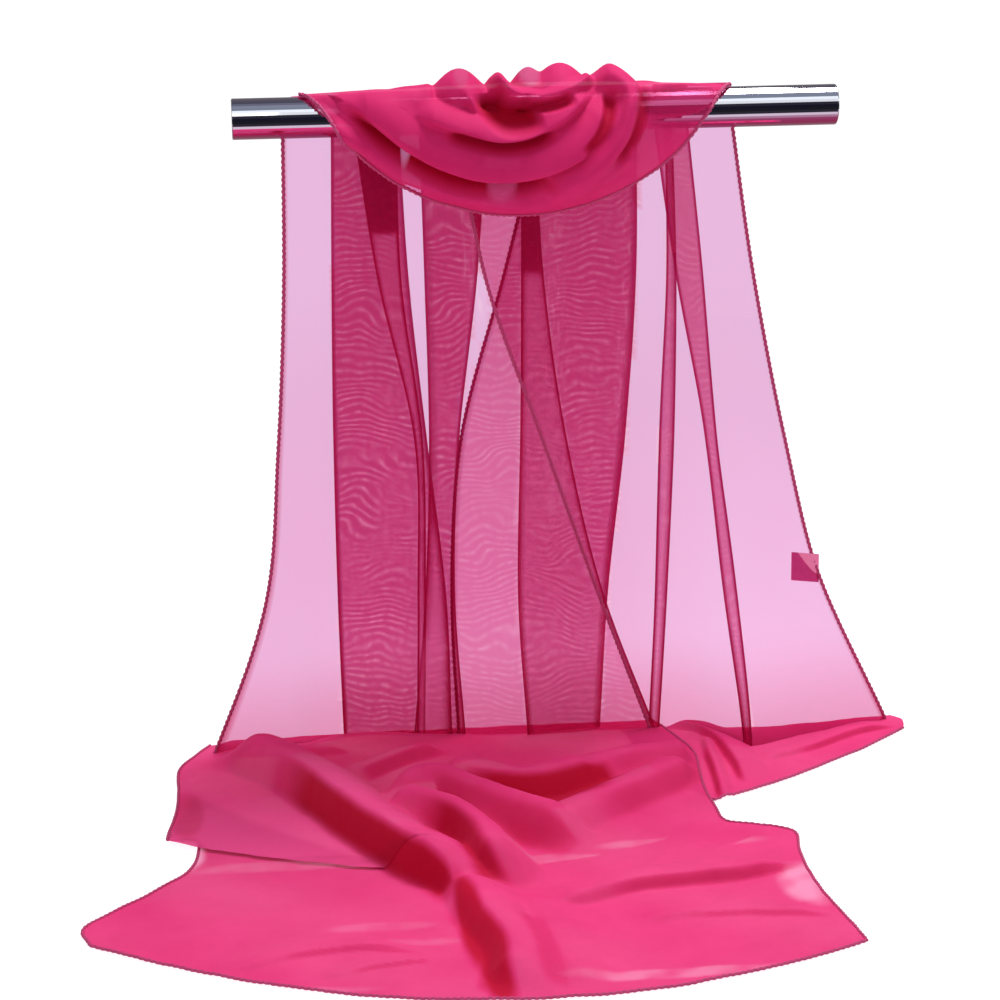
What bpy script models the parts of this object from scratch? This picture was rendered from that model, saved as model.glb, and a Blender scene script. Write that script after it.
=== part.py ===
"""A chiffon scarf draped over a chrome rod: a cowl in front and two pleated tails behind.

Metres, +Z up. The origin is the centre of the rod, +X runs along it, and -Y faces the
viewer. Both tails hang behind the rod, and the long left one spreads over the surface
that they reach, forwards under the cowl.
"""

import math

import bmesh
import bpy
from mathutils import Vector

MM = 0.001

# Driving dimensions
ROD_LENGTH = 425 * MM
ROD_RADIUS = 14.25 * MM
ROD_EDGE = 0.8 * MM
FLOOR_Z = -470 * MM
CLOTH_WALL = 1.0 * MM
FLOOR_WALL = 1.4 * MM
SEAM_GAP = 0.3 * MM
FIRST_LAYER = 16.0 * MM
LAYER_PITCH = 2.2 * MM
HEM_RADIUS = 0.9 * MM
HEM_REACH = HEM_RADIUS + 1.5 * SEAM_GAP
LABEL_SIZE = (20 * MM, 17 * MM)

MAGENTA = (0.56, 0.015, 0.12)
DARK_MAGENTA = (0.36, 0.008, 0.08)
CHROME = (0.62, 0.63, 0.65)
LABEL_PINK = (0.70, 0.10, 0.28)

# Each tail is pleated across its width. A row is one hem or one fold, in the order in
# which the cloth runs, with its x in millimetres at five heights below the rod's axis.
HEIGHTS = (0, -120, -240, -360, -468)
LEFT_FOLDS = (
    ("outer hem", -177, -181, -188, -202, -236),
    ("first pleat, right", -97, -92, -82, -70, -66),
    ("first pleat, left", -142, -145, -147, -147, -146),
    ("inner pleat, right", -98, -97, -84, -84, -86),
    ("inner pleat, left", -128, -113, -90, -90, -92),
    ("second pleat, right", -33, -42, -57, -62, -56),
    ("second pleat, left", -80, -78, -77, -82, -92),
    ("right fold", 74, 74, 66, 53, 46),
    ("inner hem", 10, -21, -54, -64, -60),
)
RIGHT_FOLDS = (
    ("inner hem", -56, -36, 4, 44, 84),
    ("turned edge, right", 0, 5, 21, 50, 90),
    ("turned edge, left", -8, -9, -11, -14, -6),
    ("narrow pleat, right", 98, 102, 101, 96, 94),
    ("narrow pleat, left", 92, 95, 92, 88, 86),
    ("broad pleat, right", 109, 122, 133, 148, 152),
    ("broad pleat, left", 86, 104, 126, 140, 146),
    ("outer hem", 142, 160, 184, 215, 262),
)

# The cowl is a loft across lines that each hang as a U from the top of the rod. A row
# gives where the line leaves the top on the left and on the right, how far from the
# rod's axis it lies there, and the angle round the axis and the distance from it at the
# middle, from 90 at the top through 180 in front. Steep makes it dive at its ends.
COWL_LINES = (
    # name, left x, right x, end radius, middle angle, middle radius, steep
    ("outer hem", -165, 137, 16.5, 246, 74, 6.0),
    ("lowest roll", -158, 132, 17.0, 238, 74, 5.5),
    ("under the lowest roll", -150, 126, 17.5, 236, 63, 5.0),
    ("broad roll", -138, 118, 18.5, 222, 66, 4.5),
    ("broad roll, top", -124, 110, 20.0, 211, 62, 4.0),
    ("hollow", -112, 100, 21.0, 207, 46, 4.0),
    ("upper roll", -98, 90, 22.5, 197, 54, 3.5),
    ("upper roll, top", -84, 80, 24.0, 184, 48, 3.0),
    ("deep hollow", -72, 70, 25.5, 168, 27, 3.0),
    ("top roll", -58, 60, 27.5, 140, 35, 2.5),
    ("top roll, back", -44, 50, 29.5, 115, 37, 2.5),
    ("inner hem", -30, 38, 31.0, 99, 33, 2.0),
)

# The part that lies on the surface. A row runs from the left edge through a middle
# depth to the right edge, in millimetres.
LEFT_SPREAD_ROWS = (
    # left x, left y, middle y, right x, right y
    (-250, 38, 38, 88, 38),
    (-256, 5, 5, 100, 0),
    (-268, -35, -40, 108, -36),
    (-266, -74, -86, 105, -76),
    (-258, -115, -135, 103, -115),
    (-254, -168, -185, 108, -166),
    (-258, -198, -228, 148, -192),
    (-276, -230, -276, 146, -230),
    (-304, -268, -330, 145, -282),
    (-325, -299, -388, 151, -334),
    (-322, -323, -430, 157, -378),
)
RIGHT_SPREAD_ROWS = (
    (112, 36, 36, 268, 34),
    (114, -10, 6, 274, 18),
    (116, -60, -28, 276, 8),
    (115, -100, -62, 275, 2),
    (113, -134, -82, 273, -3),
)

# Ridges that the cloth stands up in where it spreads: height, half width, and the
# points that the crest passes through.
SPREAD_RIDGES = (
    ("left ridge", 26, 34, ((-206, -84), (-180, -108), (-148, -172), (-112, -236), (-86, -290))),
    ("middle ridge", 30, 32, ((-132, -202), (-104, -190), (-82, -200), (-68, -240), (-60, -300))),
    ("crossing ridge", 30, 34, ((-98, -122), (-80, -114), (-40, -172), (-6, -240))),
    ("back ridge", 24, 30, ((-70, -106), (-20, -96), (30, -84), (66, -96))),
    ("right ridge", 20, 28, ((-24, -182), (24, -146), (66, -122))),
    ("front ridge", 14, 28, ((-52, -330), (-62, -370), (-70, -404))),
    ("low front ridge", 8, 26, ((-44, -308), (14, -278), (92, -270), (112, -262))),
)


def spread_evenly(first, last, count):
    return [first + (last - first) * i / (count - 1) for i in range(count)]


def through(values, stations, at):
    """A smooth curve through values at stations, read at one place."""
    steps = list(stations)
    order = 1 if steps[-1] > steps[0] else -1
    at = max(min(at * order, steps[-1] * order), steps[0] * order) * order
    i = 0
    while i < len(steps) - 2 and at * order > steps[i + 1] * order:
        i += 1
    span = steps[i + 1] - steps[i]

    def slope(k):
        before, after = max(k - 1, 0), min(k + 1, len(steps) - 1)
        return (values[after] - values[before]) / (steps[after] - steps[before])

    t = (at - steps[i]) / span
    start, end = values[i], values[i + 1]
    return (
        (2 * t**3 - 3 * t**2 + 1) * start
        + (t**3 - 2 * t**2 + t) * span * slope(i)
        + (3 * t**2 - 2 * t**3) * end
        + (t**3 - t**2) * span * slope(i + 1)
    )


def pleated_section(folds, height):
    """(x, layer) across a tail at one height: straight runs joined by round folds."""
    xs = [through(row[1:], HEIGHTS, height) * MM for row in folds]
    points = [(xs[0], 0.0)]
    for i in range(1, len(xs) - 1):
        side = 1 if xs[i] > xs[i - 1] else -1
        middle = 0.5 * (points[-1][0] + xs[i])
        points.append((middle, i - 1.0))
        points.append((xs[i], i - 1.0))
        points.append((xs[i] + side * LAYER_PITCH / 2, i - 0.5))
        points.append((xs[i], float(i)))
    points.append((0.5 * (points[-1][0] + xs[-1]), len(xs) - 2.0))
    points.append((xs[-1], len(xs) - 2.0))
    return points


def layer_depth(layer):
    return FIRST_LAYER + layer * LAYER_PITCH


def tail_grid(folds, top_z, bottom_z, rows):
    """Sections down a tail, each straight below the back of the rod."""
    grid = []
    for z in spread_evenly(top_z, bottom_z, rows):
        section = pleated_section(folds, z / MM)
        grid.append([(x, layer_depth(layer), z) for x, layer in section])
    return grid


def over_rod_grid(folds, rows):
    """The tail's top section swept round the rod, from its back to its top."""
    section = pleated_section(folds, 0)
    grid = []
    for angle in spread_evenly(0.0, math.pi / 2, rows):
        row = []
        for x, layer in section:
            radius = layer_depth(layer)
            row.append((x, radius * math.cos(angle), radius * math.sin(angle)))
        grid.append(row)
    grid[-1] = [(x, y + SEAM_GAP, z) for x, y, z in grid[-1]]
    return grid


def round_the_rod(x, angle, radius):
    return (x, radius * math.cos(angle), radius * math.sin(angle))


def cowl_line(line, columns):
    """One U of the cowl, from the top of the rod on the left to the top on the right."""
    _, left, right, end_radius, angle, radius, steep = line
    points = []
    for s in spread_evenly(0.0, 1.0, columns):
        away = abs(1 - 2 * s)
        turn = math.radians(90 + (angle - 90) * (1 - away**steep))
        out = end_radius + (radius - end_radius) * (1 - away**2) ** 1.3
        x = left + (right - left) * s
        points.append(round_the_rod(x * MM, turn, out * MM))
    points[0] = (points[0][0], -SEAM_GAP / 2, points[0][2])
    points[-1] = (points[-1][0], -SEAM_GAP / 2, points[-1][2])
    return points


def distance_to_path(x, y, path):
    nearest = math.inf
    for (ax, ay), (bx, by) in zip(path, path[1:]):
        length = (bx - ax) ** 2 + (by - ay) ** 2
        t = ((x - ax) * (bx - ax) + (y - ay) * (by - ay)) / length
        t = min(max(t, 0.0), 1.0)
        nearest = min(nearest, math.hypot(x - ax - t * (bx - ax), y - ay - t * (by - ay)))
    return nearest


def ridge_height(x, y):
    """How far the spread cloth stands above the surface at a point, in metres.

    Ridges that meet run into each other, so their heights add as cubes.
    """
    cubes = 0.0
    for _, height, half_width, path in SPREAD_RIDGES:
        away = distance_to_path(x / MM, y / MM, path) / half_width
        if away < 1:
            cubes += (height * MM * (1 - away**2) ** 2) ** 3
    return cubes ** (1 / 3)


def spread_grid(rows, along, across, height):
    """The cloth on the surface, from its back edge to its end hem."""
    stations = range(len(rows))
    grid = []
    for t in spread_evenly(0, len(rows) - 1, along):
        left_x, left_y, middle_y, right_x, right_y = (
            through([row[k] for row in rows], stations, t) for k in range(5)
        )
        line = []
        for s in spread_evenly(0.0, 1.0, across):
            x = (left_x + (right_x - left_x) * s) * MM
            y = through((left_y, middle_y, right_y), (0.0, 0.5, 1.0), s) * MM
            line.append((x, y, FLOOR_Z + FLOOR_WALL / 2 + height(x, y)))
        grid.append(line)
    return grid


def material(name, colour, roughness, metallic=0.0):
    made = bpy.data.materials.new(name)
    made.use_nodes = True
    shader = made.node_tree.nodes["Principled BSDF"]
    shader.inputs["Base Color"].default_value = (*colour, 1.0)
    shader.inputs["Roughness"].default_value = roughness
    shader.inputs["Metallic"].default_value = metallic
    return made


def place(collection, obj, colour, roughness, metallic=0.0):
    collection.objects.link(obj)
    obj.data.materials.append(material(obj.name, colour, roughness, metallic))


def sheet(collection, name, grid, wall, colour=MAGENTA):
    """A wall of cloth over a grid of points."""
    columns = len(grid[0])
    points = [point for row in grid for point in row]
    faces = []
    for i in range(len(grid) - 1):
        for j in range(columns - 1):
            a = i * columns + j
            faces.append((a, a + 1, a + columns + 1, a + columns))
    mesh = bpy.data.meshes.new(name)
    mesh.from_pydata(points, [], faces)
    mesh.shade_smooth()
    obj = bpy.data.objects.new(name, mesh)
    place(collection, obj, colour, 0.8)
    shell = obj.modifiers.new("Wall", "SOLIDIFY")
    shell.thickness = wall
    shell.offset = 0.0
    shell.use_even_offset = True
    return obj


def hem(collection, name, points):
    """A rolled hem: a thin tube along an edge."""
    curve = bpy.data.curves.new(name, "CURVE")
    curve.dimensions = "3D"
    curve.bevel_depth = HEM_RADIUS
    curve.bevel_resolution = 1
    curve.use_fill_caps = True
    line = curve.splines.new("POLY")
    line.points.add(len(points) - 1)
    for spot, point in zip(line.points, points):
        spot.co = (*point, 1.0)
    obj = bpy.data.objects.new(name, curve)
    place(collection, obj, DARK_MAGENTA, 0.7)


def beside(points, inner, reach):
    """An edge moved out of its sheet, square to itself. Inner is the next line inside."""
    edge = []
    for i, point in enumerate(points):
        here = Vector(point)
        along = Vector(points[min(i + 1, len(points) - 1)]) - Vector(points[max(i - 1, 0)])
        along.normalize()
        out = here - Vector(inner[i])
        out -= along * out.dot(along)
        edge.append(here + out.normalized() * reach)
    return edge


def build_rod(collection):
    mesh = bpy.data.meshes.new("rod")
    shape = bmesh.new()
    bmesh.ops.create_cone(
        shape,
        cap_ends=True,
        segments=48,
        radius1=ROD_RADIUS,
        radius2=ROD_RADIUS,
        depth=ROD_LENGTH,
    )
    shape.to_mesh(mesh)
    shape.free()
    mesh.shade_smooth()
    mesh.set_sharp_from_angle(angle=math.radians(30))
    obj = bpy.data.objects.new("rod", mesh)
    obj.rotation_euler = (0.0, math.pi / 2, 0.0)
    place(collection, obj, CHROME, 0.12, 1.0)
    edge = obj.modifiers.new("Edge", "BEVEL")
    edge.width = ROD_EDGE
    edge.segments = 2
    edge.limit_method = "ANGLE"


def build_tails(collection):
    bottom = FLOOR_Z + 2 * HEM_RADIUS + SEAM_GAP
    for side, folds in (("left", LEFT_FOLDS), ("right", RIGHT_FOLDS)):
        grid = tail_grid(folds, -SEAM_GAP, bottom, 15)
        sheet(collection, f"{side}_tail", grid, CLOTH_WALL)
        sheet(collection, f"{side}_over_rod", over_rod_grid(folds, 6), CLOTH_WALL)
        for end, inside in ((0, 1), (-1, -2)):
            edge = [row[end] for row in grid]
            edge = beside(edge, [row[inside] for row in grid], HEM_REACH)
            edge[-1].z = bottom + HEM_RADIUS
            which = folds[end][0].replace(" ", "_")
            hem(collection, f"{side}_tail_{which}", edge)


def build_cowl(collection):
    columns = 25
    grid = [cowl_line(line, columns) for line in COWL_LINES]
    sheet(collection, "cowl", grid, CLOTH_WALL)
    edge = beside(grid[0], grid[1], HEM_REACH)
    hem(collection, "cowl_outer_hem", edge[1:-1])


def build_spreads(collection):
    left = spread_grid(LEFT_SPREAD_ROWS, 27, 33, ridge_height)
    sheet(collection, "left_spread", left, FLOOR_WALL)
    right = spread_grid(RIGHT_SPREAD_ROWS, 9, 13, lambda x, y: 0.0)
    sheet(collection, "right_spread", right, FLOOR_WALL)
    for name, edge, inner in (
        ("left_spread_left_hem", [r[0] for r in left], [r[1] for r in left]),
        ("left_spread_right_hem", [r[-1] for r in left], [r[-2] for r in left]),
        ("left_spread_end_hem", left[-1], left[-2]),
        ("right_spread_end_hem", right[-1], right[-2]),
    ):
        path = beside(edge, inner, HEM_REACH)
        for point in path:
            point.z += HEM_RADIUS - FLOOR_WALL / 2
        hem(collection, name, path[1:-1] if "end" in name else path[:-1])


def build_label(collection):
    """The bare label, sewn inside the outer hem of the right tail."""
    height = -338 * MM
    width, tall = LABEL_SIZE
    edge_x, layer = pleated_section(RIGHT_FOLDS, height / MM)[-1]
    y = layer_depth(layer) - CLOTH_WALL - SEAM_GAP
    left_x = edge_x - width - 4 * MM
    tilt = 3 * MM
    grid = [
        [(left_x, y, height + tall / 2 + tilt), (left_x + width, y, height + tall / 2 - tilt)],
        [(left_x, y, height - tall / 2), (left_x + width, y, height - tall / 2 - tilt)],
    ]
    sheet(collection, "label", grid, CLOTH_WALL, LABEL_PINK)


def main():
    for obj in list(bpy.data.objects):
        bpy.data.objects.remove(obj, do_unlink=True)
    collection = bpy.data.collections.new("Chiffon scarf on a rod")
    bpy.context.scene.collection.children.link(collection)
    build_rod(collection)
    build_tails(collection)
    build_cowl(collection)
    build_spreads(collection)
    build_label(collection)


main()
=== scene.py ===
"""The chiffon scarf on its chrome rod, as it looks: sheer pleated tails, a cowl and the
spread on the floor. Metres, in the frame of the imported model."""

import math

import bpy
import numpy as np
from mathutils import Matrix, Vector


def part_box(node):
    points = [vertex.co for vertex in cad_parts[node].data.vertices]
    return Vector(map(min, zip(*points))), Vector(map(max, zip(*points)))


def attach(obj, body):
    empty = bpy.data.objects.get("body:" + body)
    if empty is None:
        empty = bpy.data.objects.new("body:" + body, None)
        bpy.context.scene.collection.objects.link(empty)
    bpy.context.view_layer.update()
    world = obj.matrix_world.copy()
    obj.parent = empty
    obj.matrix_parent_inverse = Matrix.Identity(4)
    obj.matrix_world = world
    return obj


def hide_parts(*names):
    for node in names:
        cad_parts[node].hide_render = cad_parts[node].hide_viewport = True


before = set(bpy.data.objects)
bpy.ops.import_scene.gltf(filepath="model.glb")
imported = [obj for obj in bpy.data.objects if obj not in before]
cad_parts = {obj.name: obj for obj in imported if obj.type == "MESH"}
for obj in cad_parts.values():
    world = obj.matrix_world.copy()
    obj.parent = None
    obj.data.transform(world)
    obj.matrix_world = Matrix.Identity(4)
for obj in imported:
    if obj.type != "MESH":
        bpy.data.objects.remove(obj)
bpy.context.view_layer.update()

MM = 0.001
FLOOR_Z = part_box("left_spread")[0][2]

# Columns across one pass of a pleat, and rows by columns of the other meshes.
PLEAT_COLUMNS = 26
COWL_GRID = (230, 330)
LEFT_SPREAD_GRID, RIGHT_SPREAD_GRID = (280, 230), (80, 120)
HEM_STEP, HEM_RADIUS, SPREAD_HEM_RADIUS = 1.1 * MM, 1.25 * MM, 1.0 * MM

# The tails, as in the CAD: x in millimetres of each hem and fold at five heights.
HEIGHTS = (0, -120, -240, -360, -468)
LEFT_FOLDS = (
    ("outer hem", -177, -180, -188, -202, -243),
    ("first pleat, right", -97, -92, -81, -69, -66),
    ("first pleat, left", -142, -145, -147, -147, -145),
    ("inner pleat, right", -98, -97, -84, -84, -86),
    ("inner pleat, left", -128, -112, -88, -88, -90),
    ("second pleat, right", -33, -42, -57, -62, -56),
    ("second pleat, left", -80, -78, -77, -82, -92),
    ("right fold", 74, 74, 66, 53, 46),
    ("inner hem", 10, -21, -54, -63, -60),
)
RIGHT_FOLDS = (
    ("inner hem", -56, -36, 4, 45, 84),
    ("turned edge, right", 0, 5, 21, 48, 87),
    ("turned edge, left", -8, -9, -11, -14, -8),
    ("narrow pleat, right", 98, 102, 101, 96, 90),
    ("narrow pleat, left", 95, 97, 92, 89, 84),
    ("broad pleat, right", 109, 122, 133, 148, 152),
    ("broad pleat, left", 86, 104, 126, 140, 148),
    ("outer hem", 142, 160, 184, 215, 264),
)

# The nearest layer behind the rod's axis, the space between layers, and the least radius over
# the rod.
FIRST_LAYER, LAYER_PITCH = 16.0 * MM, 2.2 * MM
CLEAR_OF_ROD = 15.6 * MM

# The scarf's own middle hangs inside the tails to this height on the left, and lower by this
# step on the right.
INNER_END, INNER_STEP = -0.085, 0.033

# Upright columns of light dashes between narrow folds, in (x, z) mm.
STREAKS = (
    # name, half width, path
    ("right column", 8, ((13, -50), (14, -160), (14, -300))),
    ("left column", 5, ((-52, -40), (-48, -90), (-43, -150))),
    ("right fold column", 5, ((66, -40), (68, -120), (62, -240))),
)

# Where each tail meets the floor, as (x, y) in millimetres.
LEFT_FOOT = (
    (-250, 8), (-206, 2), (-184, 4), (-166, 24), (-143, 36),
    (-89, 32), (-31, 20), (44, 26), (88, 26),
)
RIGHT_FOOT = (
    (-60, 16), (88, 20), (100, 18), (117, 8), (131, -12),
    (150, -28), (173, -20), (235, 6), (276, 18),
)

# The cowl's lines from its outer hem to its inner one. Each runs along the rod: x and radius in
# mm, and the angle round the rod in degrees, 90 at the top and 180 in front.
COWL_LINES = (
    # name, left x, right x, end radius, middle angle, middle radius, steep
    ("outer hem", -165, 137, 16.0, 246, 74, 6.0),
    ("lower roll", -158, 132, 16.3, 237, 73, 5.5),
    ("under the body", -150, 126, 16.6, 228, 70, 5.0),
    ("body", -138, 118, 17.0, 218, 66, 4.5),
    ("body, upper", -124, 110, 17.4, 207, 61, 4.0),
    ("hollow", -112, 100, 17.8, 196, 54, 3.7),
    ("upper roll", -98, 90, 18.2, 183, 46, 3.4),
    ("deep hollow", -84, 80, 18.6, 168, 38, 3.0),
    ("inner roll", -72, 70, 19.0, 150, 31, 2.7),
    ("top, front", -58, 60, 19.4, 128, 25, 2.4),
    ("top", -44, 50, 19.8, 104, 21.5, 2.2),
    ("inner hem", -30, 38, 20.2, 78, 20.5, 2.0),
)

# The cowl's creases, read in a plane at this y by an eye this much above it.
# The width below a path is to its right as it runs.
COWL_PLANE_Y = -40 * MM
COWL_EYE = math.radians(15)
COWL_FOLDS = (
    # name, height, width below, width above, path in (x, z) mm
    ("lower roll", 11, 8, 8,
     ((-156, 12), (-144, 0), (-124, -12), (-100, -29), (-80, -38), (-60, -45), (-38, -51),
      (-16, -54), (6, -52), (26, -45), (42, -37), (58, -28))),
    ("body roll", 13, 7, 27,
     ((-136, 16), (-114, 2), (-92, -14), (-66, -27), (-38, -35), (-12, -35), (12, -29),
      (32, -18), (47, -2), (54, 14))),
    ("upper roll", 14, 7, 17,
     ((-92, 8), (-72, 1), (-52, -7), (-32, -12), (-10, -10), (8, -2), (22, 8), (32, 20))),
    ("inner roll", 9, 7, 10,
     ((-60, 26), (-50, 14), (-38, 5), (-24, 0), (-8, 1), (8, 7), (24, 16))),
    ("fold band", 15, 5, 8,
     ((-36, 30), (-31, 24), (-22, 17), (-10, 14), (8, 15), (24, 20), (36, 27))),
    ("standing roll", 15, 9, 14,
     ((32, 26), (48, 25), (58, 17), (56, -1), (48, -17), (35, -30), (16, -41), (-4, -46))),
    ("right shoulder", 5, 14, 14, ((74, 16), (96, 14), (120, 14))),
    ("left shoulder", 7, 16, 14, ((-128, 12), (-108, 15), (-88, 18), (-74, 20))),
)
COWL_HOLLOWS = (
    # name, depth, half width, path in (x, z) mm
    ("deep hollow", 24, 13, ((-40, 22), (-34, 9), (-25, 2), (-13, 2), (-2, 6))),
    ("under the upper roll", 9, 6, ((-70, -6), (-50, -13), (-30, -18), (-8, -16), (10, -8))),
    ("under the body", 13, 5,
     ((-140, 16), (-128, 5), (-114, -8), (-94, -23), (-66, -37), (-40, -44), (-12, -45),
      (16, -39))),
    ("under the fold band", 8, 5, ((-18, 8), (4, 8), (22, 13))),
    ("beside the standing roll", 9, 6, ((46, 20), (45, 4), (38, -12), (26, -24))),
    ("outside the standing roll", 8, 6, ((69, 24), (68, 2), (60, -18), (46, -32))),
)
COWL_PUFFS = (
    # name, x, z, half width, half height, height
    ("left puff", -59, 26, 19, 20, 13),
    ("small puff", -31, 29, 8, 12, 8),
    ("top puff, left", -10, 29, 13, 18, 11),
    ("top puff, right", 12, 28, 21, 22, 14),
    ("standing puff", 46, 27, 17, 14, 6),
    ("shoulder puff", -96, 22, 14, 12, 3),
    ("right puff", 72, 22, 16, 12, 3),
)
# Where the cowl is a single layer and shows what is behind it.
COWL_WINDOWS = (
    # name, x, z, half width, half height, how thin
    ("left window", -91, -23, 8, 4, 1.0),
    ("left strip", -91, -45, 9, 4, 0.8),
    ("middle window", -28, -46, 12, 4, 0.9),
    ("left puff", -57, 28, 6, 7, 0.5),
    ("top puff", -9, 29, 8, 7, 0.7),
    ("right panel", 98, 8, 34, 17, 0.8),
    ("left corner", -150, 12, 10, 12, 0.45),
)

# The left spread runs forward to an edge, doubles back under itself and runs forward again.
# It is on top up to TOP_ROWS_END, and lies on the floor in sight from LAST_ROWS_START.
TOP_ROWS_END, LAST_ROWS_START = 6.3, 8.6
LEFT_SPREAD_ROWS = (
    # left x, left y, middle y, right x, right y, height in the stack, all in mm
    (-246, 22, 38, 88, 38, 3.2),
    (-256, 0, 5, 100, 0, 3.2),
    (-268, -30, -40, 108, -36, 3.2),
    (-268, -74, -86, 105, -76, 3.2),
    (-269, -110, -138, 103, -112, 3.2),
    (-274, -152, -206, 104, -148, 3.2),
    (-274, -160, -231, 105, -166, 2.6),
    (-266, -124, -239, 110, -174, 1.9),
    (-257, -82, -247, 128, -181, 1.3),
    (-253, -98, -254, 143, -188, 0.7),
    (-253, -164, -263, 150, -200, 0.4),
    (-262, -215, -286, 146, -230, 0.3),
    (-304, -268, -330, 145, -282, 0.3),
    (-325, -297, -388, 151, -334, 0.3),
    (-320, -322, -430, 157, -376, 0.3),
)
# The right spread lies flat, in rows of the same kind.
RIGHT_SPREAD_ROWS = (
    (60, 24, 14, 270, 26, 0.3),
    (64, 4, 0, 276, 16, 0.3),
    (68, -44, -24, 276, 9, 0.3),
    (84, -90, -52, 275, 3, 0.3),
    (105, -132, -78, 273, -3, 0.3),
)

# The folds that the spread cloth stands up in. Each leans over its hollow, which lies to the right
# of the path as it runs forwards, and slopes away gently on the other side. The face towards the
# hollow gets painted shade, as dark as its column gives.
SPREAD_RIDGES = (
    # name, height, hollow side, gentle side, lean, how dark, path in (x, y) mm
    ("left ridge", 29, 27, 40, 11, 1.0,
     ((-246, -12), (-222, -22), (-202, -34), (-172, -80), (-139, -156), (-104, -223),
      (-77, -266), (-74, -292))),
    ("middle ridge", 29, 20, 26, 8, 0.9,
     ((-126, -134), (-97, -152), (-77, -171), (-61, -210), (-53, -243), (-44, -270))),
    ("crossing ridge", 26, 30, 24, 5, 0.42,
     ((-116, -138), (-105, -112), (-93, -99), (-81, -101), (-62, -125), (-31, -164),
      (-14, -178), (12, -198))),
    ("back ridge", 19, 28, 44, 7, 1.0,
     ((-84, -52), (-66, -66), (-42, -88), (-17, -94), (8, -84), (34, -64))),
    ("back ridge, right", 14, 24, 34, 4, 0.2, ((8, -80), (40, -62), (74, -50), (112, -44))),
    ("right ridge", 15, 24, 30, 4, 0.3,
     ((-26, -166), (-8, -162), (12, -146), (34, -126), (72, -92), (103, -58))),
    ("front ridge", 15, 28, 26, 7, 1.0,
     ((-74, -250), (-70, -290), (-60, -330), (-53, -364), (-54, -398), (-60, -430))),
    ("second front ridge", 6, 15, 28, 1, 0.22,
     ((-40, -282), (-33, -330), (-28, -380), (-30, -424))),
    ("low front ridge", 8, 12, 30, 3, 0.35,
     ((-40, -302), (-14, -292), (20, -276), (60, -268), (100, -262), (138, -244))),
    ("right crease", 3, 7, 20, 1, 0.2, ((20, -330), (60, -322), (110, -326), (146, -334))),
    ("left crease", 3, 6, 24, 1, 0.2, ((-236, -376), (-200, -356), (-160, -348), (-116, -356))),
    ("fine crease", 2, 5, 14, 1, 0.2, ((-180, -392), (-150, -376), (-112, -368))),
    ("far crease", 9, 12, 20, 2, 0.3, ((-158, -96), (-138, -58), (-111, -30), (-76, -4))),
    ("back crease", 5, 10, 22, 2, 0.25, ((-246, 14), (-206, 6), (-168, -4), (-140, -2))),
)
RIGHT_RIDGES = (
    ("ruffle", 6, 5, 8, 1, 0.7, ((122, 0), (119, -46), (117, -86), (113, -134))),
    ("leaf", 7, 6, 20, 2, 0.5, ((90, 22), (117, 13), (131, -15), (135, -48), (136, -101))),
    ("end crease", 4, 6, 18, 1, 0.4, ((150, -60), (190, -40), (240, -6), (268, 4))),
)
# Where the spread cloth is a single layer and shows the pale floor; the two left highlights are
# painted highlights made the same way.
SPREAD_WINDOWS = (
    # name, x, y, half width, half depth, how thin
    ("left flap", -262, -186, 12, 24, 0.8),
    ("left strip", -190, -212, 74, 9, 0.22),
    ("right corner", 140, -284, 18, 34, 0.75),
    ("right notch", 124, -178, 20, 9, 0.6),
    ("right strip", 70, -206, 54, 9, 0.35),
    ("left highlight", -140, -318, 34, 6, 0.17),
    ("left highlight, near", -112, -344, 24, 5, 0.17),
    ("front left edge", -210, -406, 60, 6, 0.3),
    ("front right edge", 40, -408, 70, 7, 0.45),
    ("inner strip", -12, -224, 32, 8, 0.28),
)
# Where the cloth lies in more layers and is deeper in colour for it, and painted shade in the
# ravine and the hollows.
SPREAD_LAYERS_AND_SHADE = (
    # name, x, y, half width, half depth, how deep
    ("left flap fold", -262, -122, 12, 40, 0.4),
    ("back left", -190, -20, 60, 22, 0.12),
    ("ravine", -80, -330, 11, 60, 1.0),
    ("front ravine", -73, -392, 11, 46, 1.0),
    ("back hollow", -6, -122, 34, 18, 0.9),
    ("small hollow", -90, -200, 8, 24, 0.6),
)

# Colours of the cloth: what one layer lets through, then what its layers reflect, with one colour
# of painted light and one of deep layers and painted shade.
CLOTH = {
    "tint": (0.900, 0.500, 0.730),
    "veil": (0.870, 0.630, 0.915),
    "crushed": (0.80, 0.32, 0.58),
    "moire": (0.62, 0.12, 0.30),
    "glint": (1.0, 0.86, 0.95),
    "density_and_shade": (0.50, 0.02, 0.14),
    "ease": (1.0, 0.84, 0.95),
    "behind": (0.93, 0.58, 0.80),
    "bright": (0.82, 0.036, 0.215),
    "body": (0.66, 0.012, 0.140),
    "laid bright": (0.86, 0.058, 0.245),
    "laid": (0.70, 0.022, 0.165),
    "painted light": (1.0, 0.11, 0.38),
    "deep": (0.50, 0.0004, 0.030),
}


def through(values, stations, at):
    """A smooth curve through values at stations, read at many places."""
    values, stations = np.asarray(values, float), np.asarray(stations, float)
    if stations[0] > stations[-1]:
        values, stations = values[::-1], stations[::-1]
    slopes = np.gradient(values, stations)
    at = np.clip(at, stations[0], stations[-1])
    i = np.clip(np.searchsorted(stations, at) - 1, 0, len(stations) - 2)
    span = stations[i + 1] - stations[i]
    t = (at - stations[i]) / span
    return (
        (2 * t**3 - 3 * t**2 + 1) * values[i]
        + (t**3 - 2 * t**2 + t) * span * slopes[i]
        + (3 * t**2 - 2 * t**3) * values[i + 1]
        + (t**3 - t**2) * span * slopes[i + 1]
    )


def smooth(low, high, value):
    t = np.clip((np.asarray(value, float) - low) / (high - low), 0, 1)
    return t * t * (3 - 2 * t)


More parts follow.
